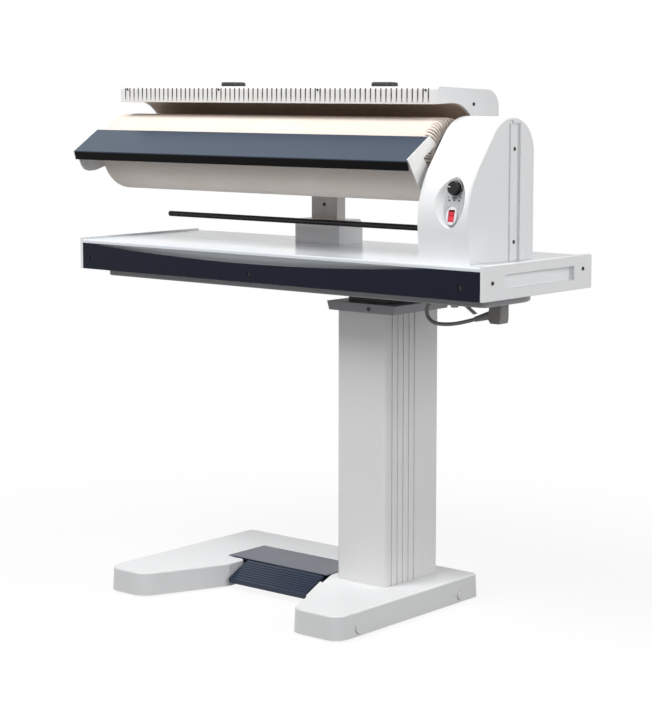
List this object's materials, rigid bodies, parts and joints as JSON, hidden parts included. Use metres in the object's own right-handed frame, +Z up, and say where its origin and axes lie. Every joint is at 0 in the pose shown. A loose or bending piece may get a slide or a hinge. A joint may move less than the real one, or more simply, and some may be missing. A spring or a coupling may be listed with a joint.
{
  "type": "flatwork ironer",
  "caption": "Pedestal flatwork ironer: a padded roller under a raised heated shoe, over a table on one column with a U-shaped foot, foot pedal and control housing.",
  "frame": {"origin": "on the floor, below the middle of the overall box", "axes": "+X right along the roller, towards the control housing; +Y back; +Z up"},
  "size_m": [1.0174, 0.46, 0.9657],
  "materials": {
    "white_shell": "satin",
    "white_enamel": "gloss",
    "navy_shell": "gloss",
    "navy_enamel": "satin",
    "grey_shell": "matte",
    "grey_enamel": "satin",
    "black_shell": "matte",
    "black_gloss": "gloss",
    "red_shell": "gloss",
    "steel": "brushed",
    "frame_paint": "satin",
    "shoe_metal": "satin",
    "arm_casting": "satin",
    "cotton": "matte",
    "felt": "matte",
    "rubber": "matte",
    "lead_sheath": "satin",
    "bronze": "satin"
  },
  "bodies": {
    "stand": {"base_cover": "white_shell", "base_frame": "frame_paint", "base_feet": "rubber", "base_side_caps": "white_shell", "pedal_housing": "navy_shell", "pedal_pin": "steel", "column_tube": "frame_paint", "column_front_cover": "white_shell", "column_rear_cover": "white_shell", "column_side_strips": "white_shell", "column_bracket": "grey_enamel", "column_spacer": "black_shell", "pan": "grey_enamel", "pan_bolt": "grey_shell", "table_frame": "frame_paint", "tabletop": "white_enamel", "front_panel": "navy_shell", "end_panel_left": "white_shell", "end_panel_right": "white_shell", "tower_cover": "white_shell", "tower_post": "grey_enamel", "shoe_pin": "steel", "lift_motor": "black_shell", "roller_axle": "steel", "feed_board": "navy_enamel", "board_bracket_left": "white_enamel", "board_bracket_right": "white_enamel", "housing_front": "white_shell", "housing_rear": "white_shell", "drive_chassis": "frame_paint", "hub_bearing": "bronze", "drive_motor": "frame_paint", "drive_belt": "rubber", "control_dial": "grey_shell", "switch_bezel": "white_shell", "thermostat": "black_shell", "switch_body": "black_shell", "laundry_rod": "black_gloss", "lead_cord": "lead_sheath", "lead_plug": "grey_shell", "lead_gland": "lead_sheath", "lead_clip": "steel", "body_screws": "steel"},
    "shoe": {"heated_shoe": "shoe_metal", "heater_rods": "steel", "shoe_cover": "white_enamel", "cover_end_left": "white_shell", "cover_end_right": "white_shell", "cover_screws": "steel", "cover_pads": "black_shell", "shoe_arm": "arm_casting"},
    "roller": {"roller_drum": "steel", "roller_padding": "felt", "roller_cloth": "cotton", "roller_pulley": "black_shell"},
    "motor": {"motor_pulley": "steel"},
    "lift": {"lift_rod": "steel"},
    "pedal": {"foot_pedal": "navy_shell"},
    "knob": {"control_knob": "black_gloss"},
    "rocker": {"power_rocker": "red_shell"}
  },
  "joints": [
    {"name": "roller_spin", "type": "hinge", "parent": "stand", "child": "roller", "pos_m": [0.0148, 0.039, 0.828], "axis": [1, 0, 0], "continuous": true},
    {"name": "motor_spin", "type": "hinge", "parent": "stand", "child": "motor", "pos_m": [0.3748, 0.034, 0.704], "axis": [1, 0, 0], "continuous": true},
    {"name": "shoe_press", "type": "hinge", "parent": "stand", "child": "shoe", "pos_m": [-0.0507, 0.158, 0.855], "axis": [1, 0, 0], "range_deg": [0, 11.3]},
    {"name": "lift_slide", "type": "slide", "parent": "stand", "child": "lift", "axis": [0, 0, 1], "range_m": [0, 0.0045]},
    {"name": "pedal_press", "type": "hinge", "parent": "stand", "child": "pedal", "pos_m": [-0.0102, 0.004, 0.034], "axis": [1, 0, 0], "range_deg": [0, 9], "stiffness_Nm_per_rad": 0.6, "springref_deg": -11.46},
    {"name": "knob_turn", "type": "hinge", "parent": "stand", "child": "knob", "pos_m": [0.4198, -0.06441, 0.78497], "axis": [0, -0.9781, 0.2079], "range_deg": [-215, 55]},
    {"name": "rocker_tilt", "type": "hinge", "parent": "stand", "child": "rocker", "pos_m": [0.4198, -0.06656, 0.73635], "axis": [-1, 0, 0], "range_deg": [0, 14]}
  ],
  "couplings": [
    {"joint": "motor_spin", "follows": "roller_spin", "ratio": 3.6667},
    {"joint": "lift_slide", "follows": "shoe_press", "m_per_rad": 0.022816}
  ]
}
